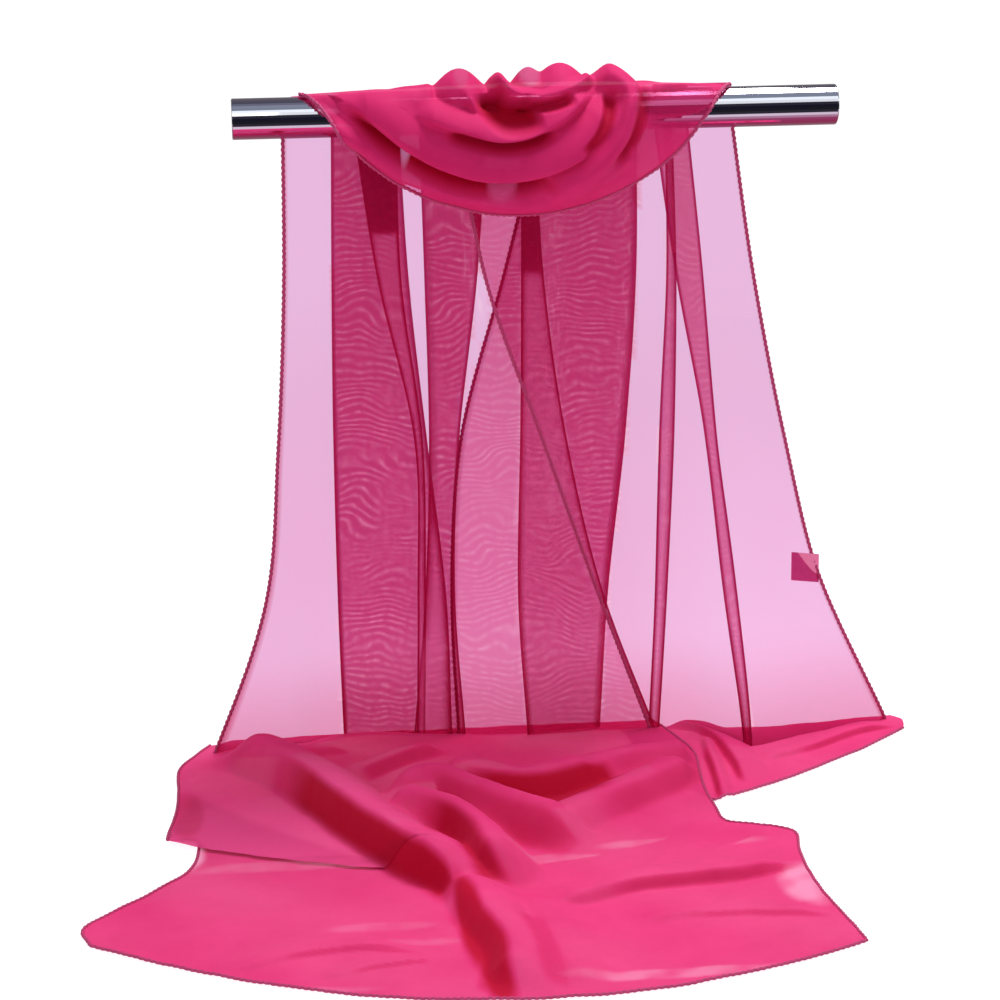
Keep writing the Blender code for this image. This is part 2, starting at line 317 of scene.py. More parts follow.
def waves(x, y, seed, longest, count=4):
    """Soft uneven undulation from -1 to 1: a few crossing sine waves."""
    rng = np.random.default_rng(seed)
    total = np.zeros(np.broadcast(x, y).shape)
    for k in range(count):
        angle, phase = rng.uniform(0, math.pi), rng.uniform(0, 2 * math.pi)
        pitch = longest / (1 + 0.7 * k)
        along = x * math.cos(angle) + y * math.sin(angle)
        total = total + np.sin(2 * math.pi * along / pitch + phase) / (1 + 0.5 * k)
    return total / 2.5


def grid_mesh(name, points, uv, fields):
    """A smooth open mesh over a grid of points, with point attributes."""
    rows, columns = points.shape[:2]
    index = np.arange(rows * columns).reshape(rows, columns)
    faces = np.stack(
        (index[:-1, :-1], index[:-1, 1:], index[1:, 1:], index[1:, :-1]), axis=-1
    ).reshape(-1, 4)
    mesh = bpy.data.meshes.new(name)
    mesh.from_pydata(points.reshape(-1, 3).tolist(), [], faces.tolist())
    layer = mesh.uv_layers.new(name="Cloth")
    flat = uv.reshape(-1, 2)[faces.reshape(-1)]
    layer.data.foreach_set("uv", flat.astype(np.float32).reshape(-1))
    for field, values in fields.items():
        held = mesh.attributes.new(field, "FLOAT", "POINT")
        held.data.foreach_set("value", np.asarray(values, np.float32).reshape(-1))
    mesh.shade_smooth()
    obj = bpy.data.objects.new(name, mesh)
    bpy.context.scene.collection.objects.link(obj)
    return obj


def arc_lengths(points, axis):
    steps = np.linalg.norm(np.diff(points, axis=axis), axis=2)
    start = np.zeros_like(np.take(steps, [0], axis=axis))
    return np.cumsum(np.concatenate([start, steps], axis=axis), axis=axis)


def tube(name, path, radius, sides=8, wobble=0.28, pitch=4.2 * MM):
    """A rolled hem: a thin tube along a path, lumpy from its overlocking thread."""
    path = resampled(path, HEM_STEP)
    along = np.gradient(path, axis=0)
    along /= np.linalg.norm(along, axis=1)[:, None]
    helper = np.where(np.abs(along[:, 2:3]) > 0.9, [[0.0, 1.0, 0.0]], [[0.0, 0.0, 1.0]])
    side = np.cross(along, helper)
    side /= np.linalg.norm(side, axis=1)[:, None]
    over = np.cross(side, along)
    run = np.arange(len(path)) * HEM_STEP
    rings = []
    for k in range(sides + 1):
        turn = 2 * math.pi * k / sides
        r = radius * (1 + wobble * np.sin(2 * math.pi * run / pitch + turn))
        rings.append(path + (side * math.cos(turn) + over * math.sin(turn)) * r[:, None])
    rings = np.stack(rings, axis=1)
    uv = np.stack(np.meshgrid(np.linspace(0, 1, sides + 1), run), axis=-1)
    return grid_mesh(name, rings, uv, {})


def resampled(path, step):
    path = np.asarray(path, float)
    run = np.concatenate([[0], np.cumsum(np.linalg.norm(np.diff(path, axis=0), axis=1))])
    at = np.linspace(0, run[-1], max(int(run[-1] / step), 2))
    return np.stack([np.interp(at, run, path[:, k]) for k in range(3)], axis=1)


# Materials
def node(tree, kind, **inputs):
    made = tree.nodes.new(kind)
    for name, value in inputs.items():
        made.inputs[name.replace("_", " ")].default_value = value
    return made


def math_node(tree, operation, a, b=None, c=None, clamp=False):
    made = tree.nodes.new("ShaderNodeMath")
    made.operation = operation
    made.use_clamp = clamp
    for socket, value in zip(made.inputs, (a, b, c)):
        if isinstance(value, (int, float)):
            socket.default_value = value
        elif value is not None:
            tree.links.new(value, socket)
    return made.outputs[0]


def mix_colour(tree, factor, a, b):
    made = tree.nodes.new("ShaderNodeMix")
    made.data_type = "RGBA"
    for socket, value in zip((made.inputs[0], made.inputs[6], made.inputs[7]), (factor, a, b)):
        if isinstance(value, (int, float)):
            socket.default_value = value
        elif isinstance(value, tuple):
            socket.default_value = (*value, 1.0)
        else:
            tree.links.new(value, socket)
    return made.outputs[2]


def mix_shader(tree, factor, a, b):
    made = tree.nodes.new("ShaderNodeMixShader")
    if isinstance(factor, (int, float)):
        made.inputs[0].default_value = factor
    else:
        tree.links.new(factor, made.inputs[0])
    tree.links.new(a, made.inputs[1])
    tree.links.new(b, made.inputs[2])
    return made.outputs[0]


def share_of(tree, value, share):
    return math_node(tree, "MULTIPLY", value, share)


def attribute(tree, name):
    made = tree.nodes.new("ShaderNodeAttribute")
    made.attribute_type = "GEOMETRY"
    made.attribute_name = name
    return made.outputs["Fac"]


def new_material(name):
    made = bpy.data.materials.new(name)
    made.use_nodes = True
    made.node_tree.nodes.clear()
    return made, made.node_tree, made.node_tree.nodes.new("ShaderNodeOutputMaterial")


def grain(tree, scale, stretch, roughness=0.6):
    """A noise in object space, stretched along one way."""
    where = tree.nodes.new("ShaderNodeTexCoord")
    scaled = tree.nodes.new("ShaderNodeMapping")
    scaled.inputs["Scale"].default_value = stretch
    tree.links.new(where.outputs["Object"], scaled.inputs["Vector"])
    made = node(tree, "ShaderNodeTexNoise", Scale=scale, Detail=3.0, Roughness=roughness)
    tree.links.new(scaled.outputs[0], made.inputs["Vector"])
    return made.outputs["Fac"]


def moire(tree):
    """Wandering fine lines, as two sheer weaves make where one lies over the other."""
    where = tree.nodes.new("ShaderNodeTexCoord")
    parts = tree.nodes.new("ShaderNodeSeparateXYZ")
    tree.links.new(where.outputs["Object"], parts.inputs[0])
    drift = node(tree, "ShaderNodeTexNoise", Scale=19.0, Detail=1.5, Roughness=0.45)
    tree.links.new(where.outputs["Object"], drift.inputs["Vector"])
    rings = math_node(tree, "MULTIPLY", drift.outputs["Fac"], 66.0)
    rows = math_node(tree, "MULTIPLY_ADD", parts.outputs["Z"], 1150.0, rings)
    line = math_node(tree, "SINE", rows)
    line = math_node(tree, "MULTIPLY_ADD", line, 0.5, 0.5)
    line = math_node(tree, "POWER", line, 2.2)
    broken = grain(tree, 210.0, (1.0, 1.0, 0.5), 0.5)
    broken = math_node(tree, "MULTIPLY_ADD", broken, 2.4, -0.75, clamp=True)
    return math_node(tree, "MULTIPLY", line, broken)


def dashes(tree):
    """Short upright streaks of light, where narrow folds run side by side."""
    marks = grain(tree, 330.0, (1.0, 1.0, 0.16), 0.4)
    return math_node(tree, "MULTIPLY_ADD", marks, 5.0, -2.6, clamp=True)


def hanging_chiffon():
    """Sheer cloth with light behind it: each layer tints what is seen through it."""
    made, tree, out = new_material("chiffon_sheer")
    soft = grain(tree, 18.0, (1.0, 1.0, 0.25))
    tint = mix_colour(tree, attribute(tree, "veil"), CLOTH["tint"], CLOTH["veil"])
    tint = mix_colour(tree, share_of(tree, soft, 0.10), tint, CLOTH["crushed"])
    bands = attribute(tree, "moire")
    tint = mix_colour(tree, share_of(tree, bands, 0.17), tint, CLOTH["moire"])
    lines = math_node(tree, "MULTIPLY", moire(tree), bands)
    streaks = math_node(tree, "MULTIPLY", dashes(tree), attribute(tree, "streak"))
    lines = math_node(tree, "MAXIMUM", lines, streaks)
    tint = mix_colour(tree, share_of(tree, lines, 0.75), tint, CLOTH["glint"])
    # Denser cloth along the folds, and painted shade under the cowl.
    density_and_shade = attribute(tree, "density_and_shade")
    tint = mix_colour(tree, density_and_shade, tint, CLOTH["density_and_shade"])
    ease = attribute(tree, "ease")
    tint = mix_colour(tree, ease, tint, CLOTH["ease"])
    clear = tree.nodes.new("ShaderNodeBsdfTransparent")
    tree.links.new(tint, clear.inputs["Color"])
    body = node(tree, "ShaderNodeBsdfPrincipled", Roughness=0.8)
    body.inputs["Specular IOR Level"].default_value = 0.15
    body.inputs["Base Color"].default_value = (*CLOTH["body"], 1.0)
    body.inputs["Sheen Weight"].default_value = 0.12
    body.inputs["Sheen Tint"].default_value = (1.0, 0.45, 0.75, 1.0)
    glow = tree.nodes.new("ShaderNodeBsdfTranslucent")
    glow.inputs["Color"].default_value = (*CLOTH["body"], 1.0)
    cloth = mix_shader(tree, 0.5, body.outputs[0], glow.outputs[0])
    cover = math_node(tree, "MULTIPLY_ADD", density_and_shade, 0.40, 0.25)
    cover = math_node(tree, "MULTIPLY", cover, math_node(tree, "MULTIPLY_ADD", ease, -0.45, 1.0))
    surface = mix_shader(tree, cover, clear.outputs[0], cloth)
    tree.links.new(surface, out.inputs["Surface"])
    return made


def gathered_chiffon(name, cover_base, through_light, colours):
    """The same cloth where its layers lie together: nearly solid, paler where it thins, with
    painted shade in its hollows and painted light where it lies three deep.
    """
    made, tree, out = new_material(name)
    soft = grain(tree, 22.0, (1.0, 1.0, 1.0))
    dark, light = colours
    colour = mix_colour(tree, soft, dark, light)
    # Painted light: brighter colour where the laid cloth lies three deep.
    painted_light = share_of(tree, attribute(tree, "painted_light"), 0.55)
    colour = mix_colour(tree, painted_light, colour, CLOTH["painted light"])
    # Deeper colour where more layers lie, and painted shade in the hollows.
    deep = attribute(tree, "deep")
    colour = mix_colour(tree, deep, colour, CLOTH["deep"])
    weave = grain(tree, 1500.0, (1.0, 1.0, 1.0), 0.4)
    colour = mix_colour(tree, share_of(tree, weave, 0.14), colour, CLOTH["deep"])
    crumple = grain(tree, 75.0, (1.0, 0.6, 1.0), 0.5)
    crumple = math_node(tree, "MULTIPLY_ADD", crumple, 4.0, weave)
    bump_node = node(tree, "ShaderNodeBump", Strength=0.25, Distance=0.0006)
    tree.links.new(crumple, bump_node.inputs["Height"])
    body = node(tree, "ShaderNodeBsdfPrincipled", Roughness=0.7)
    tree.links.new(colour, body.inputs["Base Color"])
    tree.links.new(bump_node.outputs[0], body.inputs["Normal"])
    body.inputs["Specular IOR Level"].default_value = 0.12
    body.inputs["Sheen Weight"].default_value = 0.08
    body.inputs["Sheen Tint"].default_value = (1.0, 0.22, 0.55, 1.0)
    glow = tree.nodes.new("ShaderNodeBsdfTranslucent")
    tree.links.new(colour, glow.inputs["Color"])
    cloth = mix_shader(tree, through_light, body.outputs[0], glow.outputs[0])
    clear = tree.nodes.new("ShaderNodeBsdfTransparent")
    clear.inputs["Color"].default_value = (*CLOTH["behind"], 1.0)
    thin = attribute(tree, "thin")
    plain = math_node(tree, "MULTIPLY_ADD", thin, -0.62, cover_base, clamp=True)
    cover = math_node(tree, "MULTIPLY_ADD", deep, 0.25, plain, clamp=True)
    surface = mix_shader(tree, cover, clear.outputs[0], cloth)
    tree.links.new(surface, out.inputs["Surface"])
    return made


def hem_thread():
    made, tree, out = new_material("hem_thread")
    where = tree.nodes.new("ShaderNodeUVMap")
    where.uv_map = "Cloth"
    turns = node(tree, "ShaderNodeTexWave", Scale=95.0, Distortion=1.0, Detail=1.0)
    turns.bands_direction = "DIAGONAL"
    tree.links.new(where.outputs[0], turns.inputs["Vector"])
    colour = mix_colour(tree, turns.outputs["Fac"], (0.30, 0.008, 0.07), (0.64, 0.06, 0.22))
    body = node(tree, "ShaderNodeBsdfPrincipled", Roughness=0.7)
    tree.links.new(colour, body.inputs["Base Color"])
    tree.links.new(body.outputs[0], out.inputs["Surface"])
    return made


def polished_chrome():
    made, tree, out = new_material("polished_chrome")
    scuffs = grain(tree, 120.0, (0.1, 1.0, 1.0))
    rough = math_node(tree, "MULTIPLY_ADD", scuffs, 0.04, 0.012)
    body = node(tree, "ShaderNodeBsdfPrincipled", Metallic=1.0)
    body.inputs["Base Color"].default_value = (0.80, 0.81, 0.84, 1.0)
    tree.links.new(rough, body.inputs["Roughness"])
    tree.links.new(body.outputs[0], out.inputs["Surface"])
    return made


def label_weave():
    made, tree, out = new_material("label_weave")
    threads = grain(tree, 1400.0, (1.0, 1.0, 0.2))
    colour = mix_colour(tree, threads, (0.86, 0.13, 0.34), (0.96, 0.30, 0.52))
    body = node(tree, "ShaderNodeBsdfPrincipled", Roughness=0.6)
    tree.links.new(colour, body.inputs["Base Color"])
    tree.links.new(body.outputs[0], out.inputs["Surface"])
    return made


# Shapes
def fold_places(folds, z):
    """x of every hem and fold at each height, as an array of folds by heights."""
    return np.stack([through(row[1:], HEIGHTS, z / MM) * MM for row in folds])


def tail_points(folds, foot, zs):
    """The tail's grid: rows down the tail, columns along its pleated section."""
    xs = fold_places(folds, zs)
    count = len(folds)
    columns = []
    for i in range(1, count):
        side = np.sign(xs[i] - xs[i - 1])
        turn = side * LAYER_PITCH / 2
        for t in np.arange(PLEAT_COLUMNS) / (PLEAT_COLUMNS - 1):
            x = xs[i - 1] + (xs[i] - xs[i - 1]) * t
            columns.append((x, np.full_like(zs, i - 1.0), i, t))
        if i < count - 1:
            for angle in (30, 60, 90, 120, 150):
                a = math.radians(angle)
                x = xs[i] + turn * math.sin(a)
                columns.append((x, np.full_like(zs, i - 0.5 - 0.5 * math.cos(a)), i, 1.0))
    x = np.stack([c[0] for c in columns], axis=1)
    layer = np.stack([c[1] for c in columns], axis=1)
    passes = np.array([c[2] for c in columns])
    share = np.array([c[3] for c in columns])
    z = np.repeat(zs[:, None], x.shape[1], axis=1)
    depth = FIRST_LAYER + layer * LAYER_PITCH
    sway = smooth(-0.05, -0.30, z)
    depth = depth + sway * 2.2 * MM * waves(x, z * 0.4, 3 + count, 0.09)
    foot_y = through([p[1] for p in foot], [p[0] for p in foot], x / MM) * MM
    foot_y = foot_y + (layer - 3) * 0.6 * MM
    drop = smooth(-0.30, FLOOR_Z, z) ** 1.6
    y = depth + (foot_y - depth) * drop
    return np.stack([x, y, z], axis=2), xs, passes, share


def covered(xs_sets, x, row):
    """How many passes of cloth cross each place of one row."""
    total = np.zeros_like(x)
    for xs in xs_sets:
        for a, b in zip(xs[:-1, row], xs[1:, row]):
            low, high = min(a, b), max(a, b)
            total += (x > low) & (x < high)
    return total


def build_tail(side, folds, foot, other, material):
    zs = np.concatenate([np.linspace(0, -0.42, 96), np.linspace(-0.424, FLOOR_Z + 1 * MM, 18)])
    points, xs, passes, share = tail_points(folds, foot, zs)
    theirs = fold_places(other, zs)
    layers = np.stack([covered((xs, theirs), points[r, :, 0], r) for r in range(len(zs))])
    veil = (layers <= 1.5).astype(float)
    veil *= 1 - 0.65 * smooth(-0.38, -0.468, zs)[:, None]
    near_fold = np.minimum(share, 1 - share)[None, :] * np.abs(
        np.diff(xs, axis=0)[passes - 1].T
    )
    density_and_shade = 0.55 * np.exp(-((near_fold / (0.7 * MM)) ** 2))
    density_and_shade += 0.16 * smooth(-0.39, -0.468, zs)[:, None]
    # Where the middle hangs down inside, the folds are darker.
    inner = INNER_END - INNER_STEP * smooth(-0.03, -0.02, points[..., 0])
    height = points[..., 2]
    broad = smooth(0.075, 0.09, points[..., 0]) * np.clip(layers - 1, 0, 1)
    above = smooth(inner - 1.5 * MM, inner + 1.5 * MM, height)
    density_and_shade += 0.22 * above * np.clip(layers - 3, 0, 1) * (1 - broad)
    # Painted shade: darker towards the top, in the cowl's shadow.
    density_and_shade += 0.06 * smooth(-0.25, -0.03, height) * np.clip(layers - 1, 0, 1)
    to_right = 1 - 0.5 * smooth(0.05, 0.15, points[..., 0])
    density_and_shade += 0.15 * smooth(-0.10, -0.34, height) * to_right * np.clip(2 - layers, 0, 1)
    bands = np.clip(layers - 1, 0, 2) / 2 * np.clip(6.5 - layers, 0, 1)
    bands = bands * (1 - 0.4 * smooth(0.07, 0.09, points[..., 0]))
    ease = np.clip(1.2 - 3.6 / np.maximum(layers, 1), 0, 1)
    ease += 0.12 * smooth(-0.34, -0.42, height) * np.clip(layers - 1, 0, 1)
    ease = np.clip(ease * smooth(inner + 2 * MM, inner - 3 * MM, height) + 0.35 * broad, 0, 1)
    streak = np.zeros(points.shape[:2])
    for _, half, path in STREAKS:
        gap, *_ = beside_path(points[..., 0] / MM, height / MM, path)
        streak = np.maximum(streak, 1 - smooth(0.6, 1.3, gap / half))
    uv = np.stack([arc_lengths(points, 1), np.repeat(-zs[:, None], points.shape[1], 1)], axis=2)
    fields = {"veil": veil, "density_and_shade": density_and_shade, "moire": bands, "streak": streak, "ease": ease}
    obj = grid_mesh(f"{side}_tail_cloth", points, uv, fields)
    obj.data.materials.append(material)
    return obj, points


def over_rod_points(section_points, rows=22):
    """The tail's top section carried over the rod, pressed together as it nears the top."""
    top = section_points[0]
    low, high = top[:, 0].min(), top[:, 0].max()
    grid = []
    for t in np.linspace(0, 1, rows):
        angle = math.radians(112) * t
        pressed = 15.0 * MM + (top[:, 1] - FIRST_LAYER) * 0.16
        radius = top[:, 1] + (pressed - top[:, 1]) * smooth(0, 0.6, t)
        x = top[:, 0] - (top[:, 0] - (low + high) / 2) * 0.09 * smooth(0.2, 1, t)
        grid.append(np.stack([x, radius * math.cos(angle), radius * math.sin(angle)], axis=1))
    return np.stack(grid)


def build_over_rod(side, tail_grid, material):
    points = over_rod_points(tail_grid)
    uv = np.stack([arc_lengths(points, 1), arc_lengths(points, 0)], axis=2)
    none = np.zeros(points.shape[:2])
    fields = {"veil": none, "density_and_shade": none + 0.2, "moire": none, "streak": none, "ease": none}
    obj = grid_mesh(f"{side}_over_rod_cloth", points, uv, fields)
    obj.data.materials.append(material)
    return obj


def cowl_points():
    rows, columns = COWL_GRID
    s = np.linspace(0, 1, columns)[None, :]
    v = np.linspace(0, len(COWL_LINES) - 1, rows)
    stations = np.arange(len(COWL_LINES))
    left, right, end_radius, angle, radius, steep = (
        through([line[k] for line in COWL_LINES], stations, v)[:, None] for k in range(1, 7)
    )
    away = np.abs(1 - 2 * s)
    turn = np.radians(90 + (angle - 90) * (1 - away**steep))
    out = (end_radius + (radius - end_radius) * (1 - away**2) ** 1.3) * MM
    x = (left + (right - left) * s) * MM
    return np.stack([x, out * np.cos(turn), out * np.sin(turn)], axis=2), v


def build_cowl(material):
    points, v = cowl_points()
    turn = np.arctan2(points[..., 2], points[..., 1])
    away = points[..., 1] - COWL_PLANE_Y
    x, z = points[..., 0] - 0.1 * away, points[..., 2] + away * math.tan(COWL_EYE)
    s = np.linspace(0, 1, points.shape[1])[None, :]
    edge = smooth(0, 0.06, s) * smooth(1, 0.94, s) * smooth(11, 10.2, v)[:, None]
    cubes, deep, down = np.zeros(x.shape), np.zeros(x.shape), np.zeros(x.shape)
    for _, height, below, above, path in COWL_FOLDS:
        gap, side, share, _ = beside_path(x / MM, z / MM, path)
        swell = smooth(0, 0.12, share) * smooth(1, 0.9, share)
        shape = bump(gap, np.where(side < 0, below, above))
        cubes += (height * MM * shape * (0.3 + 0.7 * swell)) ** 3
    for _, at_x, at_z, half_x, half_z, height in COWL_PUFFS:
        away = np.hypot((x / MM - at_x) / half_x, (z / MM - at_z) / half_z)
        cubes += (height * MM * np.clip(1 - away**2, 0, 1) ** 1.3) ** 3
    for _, depth, half, path in COWL_HOLLOWS:
        gap, side, share, _ = beside_path(x / MM, z / MM, path)
        swell = smooth(0, 0.2, share) * smooth(1, 0.8, share)
        dip = bump(gap, half) * swell
        down += depth * MM * dip
        # Painted shade in the cowl's hollows, darker where they dip deeper.
        deep = np.maximum(deep, np.clip(1.5 * dip, 0, 1) * min(depth / 11, 1))
    out = (cubes ** (1 / 3) - down) * edge
    fine = 0.5 * MM * waves(x, z, 21, 0.05) * edge
    radius = np.hypot(points[..., 1], points[..., 2]) + out + fine
    radius = np.maximum(radius, CLEAR_OF_ROD)
    points = np.stack([points[..., 0], radius * np.cos(turn), radius * np.sin(turn)], axis=2)
    thin = patches(x, z, COWL_WINDOWS)
    uv = np.stack([arc_lengths(points, 1), arc_lengths(points, 0)], axis=2)
    obj = grid_mesh("cowl_cloth", points, uv, {"deep": deep, "thin": thin, "painted_light": 0 * thin})
    obj.data.materials.append(material)
    return obj, points


def smooth_path(path, count=60):
    run = np.concatenate([[0], np.cumsum(np.hypot(*np.diff(np.array(path, float), axis=0).T))])
    at = np.linspace(0, run[-1], count)
    return np.stack([through([p[k] for p in path], run, at) for k in (0, 1)], axis=1)


def beside_path(x, y, path):
    """Distance to a path, its side (1 is the left), the share along it, and the way right."""
    line = smooth_path(path)
    best = np.full(x.shape, 1e9)
    side, share = np.zeros(x.shape), np.zeros(x.shape)
    run = line[-1] - line[0]
    across = np.array([run[1], -run[0]]) / np.hypot(*run)
    for k, (a, b) in enumerate(zip(line, line[1:])):
        d = b - a
        t = np.clip(((x - a[0]) * d[0] + (y - a[1]) * d[1]) / (d @ d), 0, 1)
        gap = np.hypot(x - a[0] - t * d[0], y - a[1] - t * d[1])
        near = gap < best
        cross = d[0] * (y - a[1]) - d[1] * (x - a[0])
        best = np.where(near, gap, best)
        side = np.where(near, np.sign(cross), side)
        share = np.where(near, (k + t) / (len(line) - 1), share)
    return best, side, share, across


def bump(gap, width):
    return np.clip(1 - (gap / width) ** 2, 0, 1) ** 1.6


def patches(x, y, table):
    """Soft-edged patches: 1 in the middle of each, 0 outside."""
    total = np.zeros(x.shape)
    for _, at_x, at_y, half_x, half_y, amount in table:
        away = np.hypot((x / MM - at_x) / half_x, (y / MM - at_y) / half_y)
        total = np.maximum(total, amount * (1 - smooth(0.7, 1.25, away)))
    return total


def spread_fields(x, y, ridges):
    """Lift of the spread cloth, how far it leans in x and y, and how deep in shadow it lies."""
    cubes = np.zeros(x.shape)
    deep = np.zeros(x.shape)
    lean_x, lean_y = np.zeros(x.shape), np.zeros(x.shape)
    for _, height, hollow, gentle, lean, dark, path in ridges:
        gap, side, share, across = beside_path(x / MM, y / MM, path)
        facing = side < 0
        width = np.where(facing, hollow, gentle)
        swell = smooth(0, 0.16, share) * smooth(1, 0.82, share)
        shape = bump(gap, width * (0.75 + 0.25 * swell))
        cubes += (height * MM * shape * swell) ** 3
        push = lean * MM * shape * swell
        lean_x += push * across[0]
        lean_y += push * across[1]
        # Painted shade on the hollow side of each ridge, starting just below the crest.
        shade = smooth(0.12, 0.4, gap / hollow) * smooth(1.2, 0.8, gap / hollow)
        shade = shade * smooth(0.22, 0.42, share) * smooth(1, 0.9, share)
        deep = 1 - (1 - deep) * (1 - dark * np.where(facing, shade, 0))
    return cubes ** (1 / 3), lean_x, lean_y, deep


def spread_points(rows_table, grid, ridges):
    rows, columns = grid
    stations = np.arange(len(rows_table))
    t = np.linspace(0, len(rows_table) - 1, rows)
    left_x, left_y, middle_y, right_x, right_y, stack = (
        through([row[k] for row in rows_table], stations, t)[:, None] for k in range(6)
    )
    s = np.linspace(0, 1, columns)[None, :]
    x = left_x + (right_x - left_x) * s
    y = left_y * (1 - s) * (1 - 2 * s) + middle_y * 4 * s * (1 - s) + right_y * s * (2 * s - 1)
    x, y = x * MM, y * MM
    x = np.broadcast_to(x, y.shape)
    lumps = 0.8 * MM * (1 + waves(x, y, 5, 0.12)) + 0.35 * MM * (1 + waves(x, y, 9, 0.035))
    stack = stack * MM * (1 - 0.8 * smooth(0.3, 0.6, s))
    height, lean_x, lean_y, deep = spread_fields(x, y, ridges)
    inside = smooth(0, 0.04, s) * smooth(1, 0.96, s)
    thin = painted_light = np.zeros(x.shape)
    if ridges is SPREAD_RIDGES:
        # More layers in the flap fold, and painted shade in the ravine and the hollows.
        deep = np.maximum(deep, patches(x, y, SPREAD_LAYERS_AND_SHADE))
        ragged = np.clip(0.75 + 0.6 * waves(x, y, 31, 0.045), 0, 1)
        seen = ((t < TOP_ROWS_END) | (t > LAST_ROWS_START))[:, None]
        thin = patches(x, y, SPREAD_WINDOWS) * ragged * seen
        # Painted light: the cloth that lies three deep is painted brighter, for it gets no light
        # from below.
        painted_light = (t < LAST_ROWS_START)[:, None] * smooth(0.5, 0.3, s) * smooth(-0.06, -0.14, y)
    z = FLOOR_Z + 0.5 * MM + height * (0.35 + 0.65 * inside) + lumps + stack
    points = np.stack([x + lean_x * inside, y + lean_y * inside, z], axis=2)
    return points, deep, thin, painted_light


def build_spread(side, table, grid, ridges, material):
    points, deep, thin, painted_light = spread_points(table, grid, ridges)
    uv = np.stack([arc_lengths(points, 1), arc_lengths(points, 0)], axis=2)
    thin = np.clip(thin + 0.03 + 0.05 * waves(points[..., 0], points[..., 1], 12, 0.2), 0, 1)
    obj = grid_mesh(f"{side}_spread_cloth", points, uv, {"deep": deep, "thin": thin, "painted_light": painted_light})
    obj.data.materials.append(material)
    return obj, points


def declare(obj, slot, *nodes):
    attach(obj, "root")
    if nodes:
        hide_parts(*nodes)


# Camera and light
# What the chrome mirrors, by the angle round the rod: 0 behind, 0.25 straight down,
# 0.5 in front, 0.75 straight up.
CHROME_BANDS = (
    (0.143, (0.28, 0.085, 0.13)), (0.211, (0.31, 0.036, 0.10)), (0.261, (0.35, 0.038, 0.12)),
    (0.304, (0.33, 0.065, 0.16)), (0.343, (0.52, 0.26, 0.40)), (0.379, (0.78, 0.63, 0.77)),
    (0.406, (0.035, 0.03, 0.045)), (0.447, (0.015, 0.014, 0.02)), (0.479, (0.010, 0.010, 0.016)),
    (0.511, (0.011, 0.009, 0.022)), (0.545, (0.024, 0.020, 0.036)), (0.572, (0.70, 0.70, 0.76)),
    (0.608, (1.2, 1.22, 1.28)), (0.645, (0.95, 1.02, 1.12)), (0.672, (0.14, 0.165, 0.24)),
    (0.714, (0.27, 0.28, 0.38)), (0.755, (0.15, 0.15, 0.21)), (0.801, (0.07, 0.065, 0.10)),
    (0.858, (0.12, 0.105, 0.135)), (0.947, (0.16, 0.14, 0.165)),
)
CAMERA_LENS = 97.8
CAMERA_AIM = Vector((-0.036, -0.067, -0.262))
CAMERA_DISTANCE = 1.9
CAMERA_AZIMUTH, CAMERA_ELEVATION, CAMERA_ROLL = -5.7, 15.0, 0.75


def build_camera():
    data = bpy.data.cameras.new("camera")
    data.lens = CAMERA_LENS
    camera = bpy.data.objects.new("camera", data)
    bpy.context.scene.collection.objects.link(camera)
    a, e = math.radians(CAMERA_AZIMUTH), math.radians(CAMERA_ELEVATION)
    back = Vector((math.sin(a) * math.cos(e), -math.cos(a) * math.cos(e), math.sin(e)))
    turn = (-back).to_track_quat("-Z", "Y").to_matrix().to_4x4()
    roll = Matrix.Rotation(-math.radians(CAMERA_ROLL), 4, "Z")
    camera.matrix_world = Matrix.Translation(CAMERA_AIM + back * CAMERA_DISTANCE) @ turn @ roll
    bpy.context.scene.camera = camera


def area_light(name, place, aim, size, power, colour=(1, 1, 1)):
    data = bpy.data.lights.new(name, "AREA")
    data.shape, data.size, data.size_y = "RECTANGLE", *size
    data.energy, data.color = power, colour
    lamp = bpy.data.objects.new(name, data)
    bpy.context.scene.collection.objects.link(lamp)
    lamp.location = place
    lamp.rotation_euler = (Vector(aim) - Vector(place)).to_track_quat("-Z", "Y").to_euler()
    return lamp


